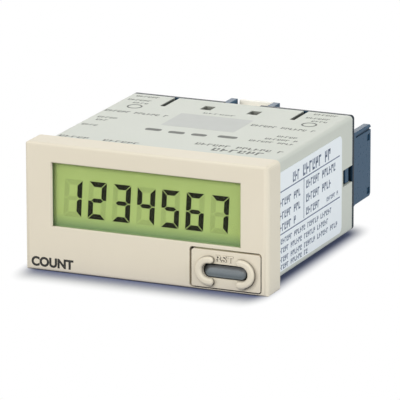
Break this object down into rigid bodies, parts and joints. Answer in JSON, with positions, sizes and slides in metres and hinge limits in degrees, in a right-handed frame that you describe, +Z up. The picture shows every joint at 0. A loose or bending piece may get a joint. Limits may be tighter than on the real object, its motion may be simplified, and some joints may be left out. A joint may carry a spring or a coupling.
{
  "type": "panel counter",
  "caption": "Self-powered LCD panel counter: cream bezel with a green seven-segment display and guarded reset key, grey case and screw terminal block.",
  "frame": {"origin": "middle of the panel cut-out, at the panel's front face, which the rear of the bezel lies on", "axes": "+X to the right as the display is read, front faces -Y, +Y into the panel, +Z up"},
  "size_m": [0.048, 0.0548, 0.024],
  "materials": {
    "cream_abs": "fine moulded satin",
    "grey_abs": "fine moulded satin",
    "slate_key": "satin",
    "blue_grey_pbt": "satin",
    "ivory_abs": "satin",
    "clear_window": "clear",
    "polariser_film": "clear",
    "lcd_glass": "clear",
    "cell_seal": "matt",
    "green_reflector": "satin film",
    "white_holder": "matt",
    "contact_rubber": "matt",
    "board_laminate": "solder mask",
    "black_epoxy": "matt",
    "can_metal": "bright",
    "sleeve_film": "gloss",
    "cell_steel": "brushed",
    "spring_strip": "bright",
    "plated_brass": "nickel plate",
    "zinc_steel": "zinc plate",
    "label_film": "satin film"
  },
  "bodies": {
    "housing": {"front_bezel": "cream_abs", "key_cover": "cream_abs", "case_shell": "grey_abs", "terminal_block": "blue_grey_pbt", "battery_carrier": "ivory_abs", "display_window": "clear_window", "lcd_polariser": "polariser_film", "lcd_front_glass": "lcd_glass", "lcd_rear_glass": "lcd_glass", "lcd_seal": "cell_seal", "lcd_reflector": "green_reflector", "lcd_holder": "white_holder", "zebra_strip": "contact_rubber", "key_pad": "contact_rubber", "display_board": "board_laminate", "main_board": "board_laminate", "counter_chip": "black_epoxy", "chip_resistors": "black_epoxy", "board_link": "black_epoxy", "crystal": "can_metal", "capacitors": "sleeve_film", "battery": "cell_steel", "battery_strip_top": "spring_strip", "battery_strip_bottom": "spring_strip", "terminal_plates": "plated_brass", "terminal_screws": "zinc_steel", "terminal_washers": "zinc_steel", "side_label": "label_film"},
    "reset_key": {"reset_key": "slate_key", "contact_pill": "contact_rubber"}
  },
  "joints": [
    {"name": "reset_key_press", "type": "slide", "parent": "housing", "child": "reset_key", "axis": [0, 1, 0], "range_m": [0, 0.0007], "stiffness_N_per_m": 400, "springref_m": -0.003, "deforming": ["key_pad"]}
  ]
}
